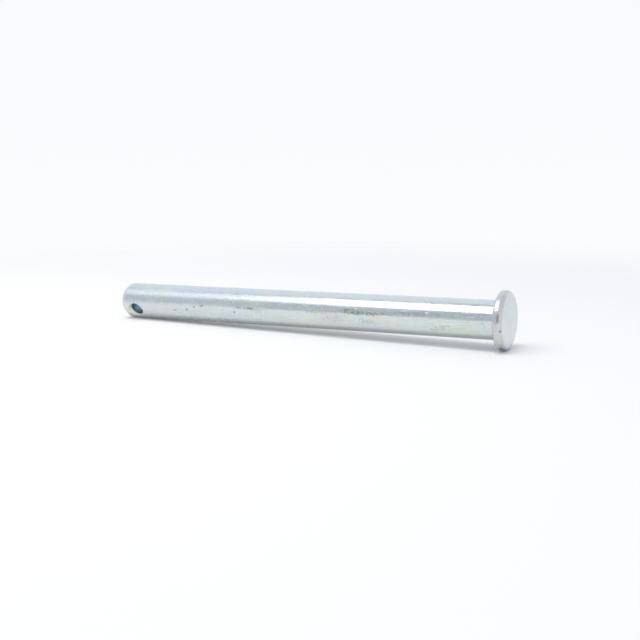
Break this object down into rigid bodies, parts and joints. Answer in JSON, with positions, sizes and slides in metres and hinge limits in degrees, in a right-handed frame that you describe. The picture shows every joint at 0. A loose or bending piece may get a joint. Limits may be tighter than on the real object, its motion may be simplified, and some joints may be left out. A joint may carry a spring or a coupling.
{
  "type": "clevis pin",
  "caption": "Straight steel clevis pin with a flat round head, a plain shank, a chamfered tip and a cross hole near the tip for a cotter.",
  "frame": {"origin": "centre of the head's outer face, on which the pin stands", "axes": "+Z along the pin's axis from the head to the tip, +Y along the cotter hole"},
  "size_m": [0.018, 0.018, 0.139],
  "materials": {
    "zinc_plated_steel": "bright zinc plate over cold-drawn steel, satin, faintly iridescent"
  },
  "bodies": {
    "root": {"clevis_pin": "zinc_plated_steel"}
  },
  "joints": []
}
